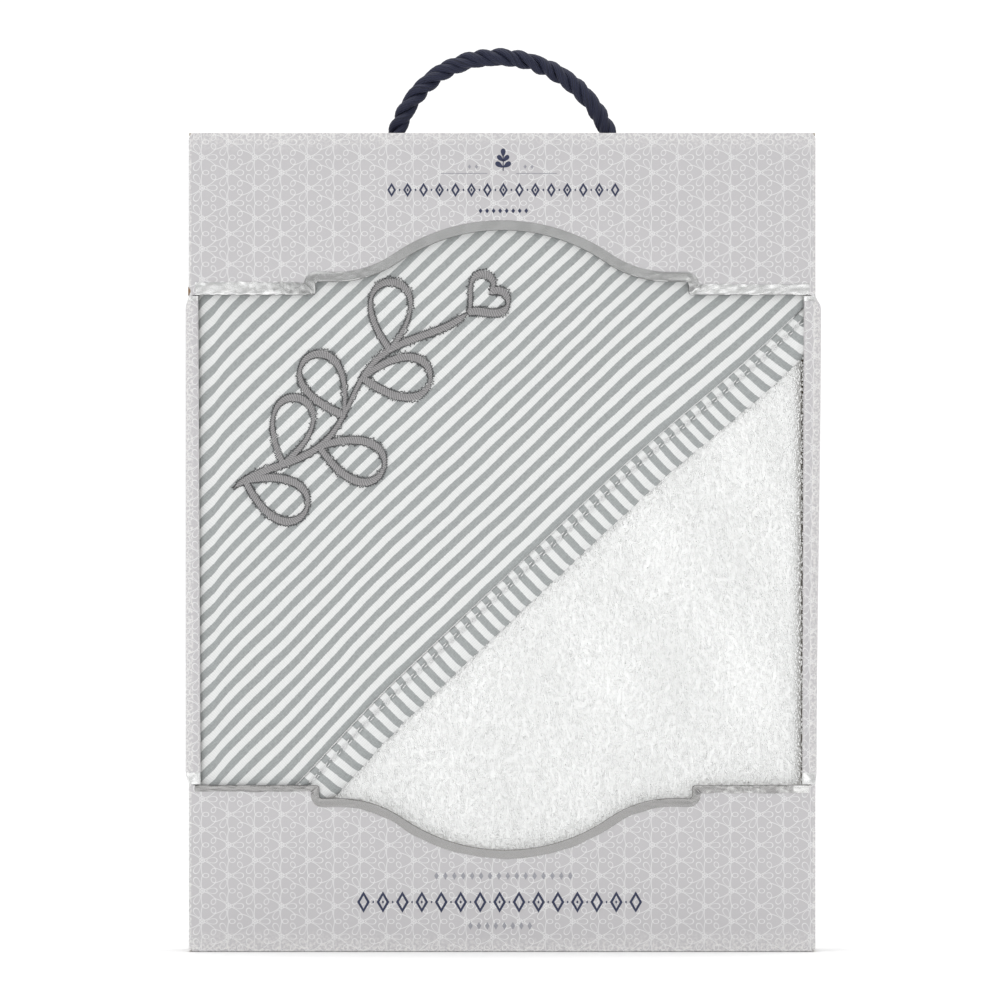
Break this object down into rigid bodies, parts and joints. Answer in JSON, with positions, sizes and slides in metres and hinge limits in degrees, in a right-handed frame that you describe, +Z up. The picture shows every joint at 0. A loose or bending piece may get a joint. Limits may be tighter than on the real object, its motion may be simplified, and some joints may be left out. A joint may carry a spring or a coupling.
{
  "type": "boxed hooded towel",
  "caption": "Upright folding gift carton with a shaped front window, foil trim and a rope carry handle, holding a folded terry towel with a striped hood.",
  "frame": {"origin": "centre of the footprint on the surface that the carton stands on", "axes": "+Z up towards the rope handle, -Y out of the window at the front, +X to the right as the front is seen"},
  "size_m": [0.2422, 0.045, 0.3462],
  "materials": {
    "printed_board": "light warm grey print of white line flowers, satin",
    "plain_board": "unprinted grey-brown board, matt",
    "foil": "crinkled silver foil",
    "rope": "navy three-strand twist",
    "jersey": "grey and white striped cotton jersey",
    "terry": "white looped cotton terry",
    "thread": "grey satin-stitch thread",
    "label_cloth": "plain woven ribbon"
  },
  "bodies": {
    "carton": {"front_panel_top": "printed_board", "front_panel_bottom": "printed_board", "foil_trim_top": "foil", "foil_trim_bottom": "foil", "side_panel_left": "printed_board", "side_panel_right": "printed_board", "back_panel": "printed_board", "glue_seam_tab": "plain_board", "window_return_left": "printed_board", "window_return_right": "printed_board", "base_panel_outer": "printed_board", "base_panel_inner": "plain_board", "base_dust_flap_left": "plain_board", "base_dust_flap_right": "plain_board", "insert_board": "plain_board", "towel_body": "terry", "hood_panel": "jersey", "hood_lining": "terry", "hood_trim_band": "jersey", "towel_edge_binding": "jersey", "care_label": "label_cloth", "embroidered_motif": "thread"},
    "lid": {"lid_panel": "printed_board", "lid_tuck_tongue": "printed_board", "rope_knot_left": "rope", "rope_knot_right": "rope"},
    "left_flap": {"lid_dust_flap_left": "plain_board"},
    "right_flap": {"lid_dust_flap_right": "plain_board"},
    "handle": {"handle_rope": "rope"}
  },
  "joints": [
    {"name": "lid_hinge", "type": "hinge", "parent": "carton", "child": "lid", "pos_m": [0, 0.0221, 0.3131], "axis": [-1, 0, 0], "range_deg": [0, 120]},
    {"name": "left_flap_hinge", "type": "hinge", "parent": "carton", "child": "left_flap", "pos_m": [-0.1192, 0, 0.3124], "axis": [0, -1, 0], "range_deg": [0, 60]},
    {"name": "right_flap_hinge", "type": "hinge", "parent": "carton", "child": "right_flap", "pos_m": [0.1192, 0, 0.3124], "axis": [0, 1, 0], "range_deg": [0, 60]},
    {"name": "handle_swing", "type": "hinge", "parent": "lid", "child": "handle", "pos_m": [0, 0, 0.3151], "axis": [-1, 0, 0], "range_deg": [-60, 60], "stiffness_Nm_per_rad": 0.02}
  ],
  "couplings": [
    {"joint": "left_flap_hinge", "follows": "lid_hinge", "ratio": 0.5},
    {"joint": "right_flap_hinge", "follows": "lid_hinge", "ratio": 0.5}
  ]
}
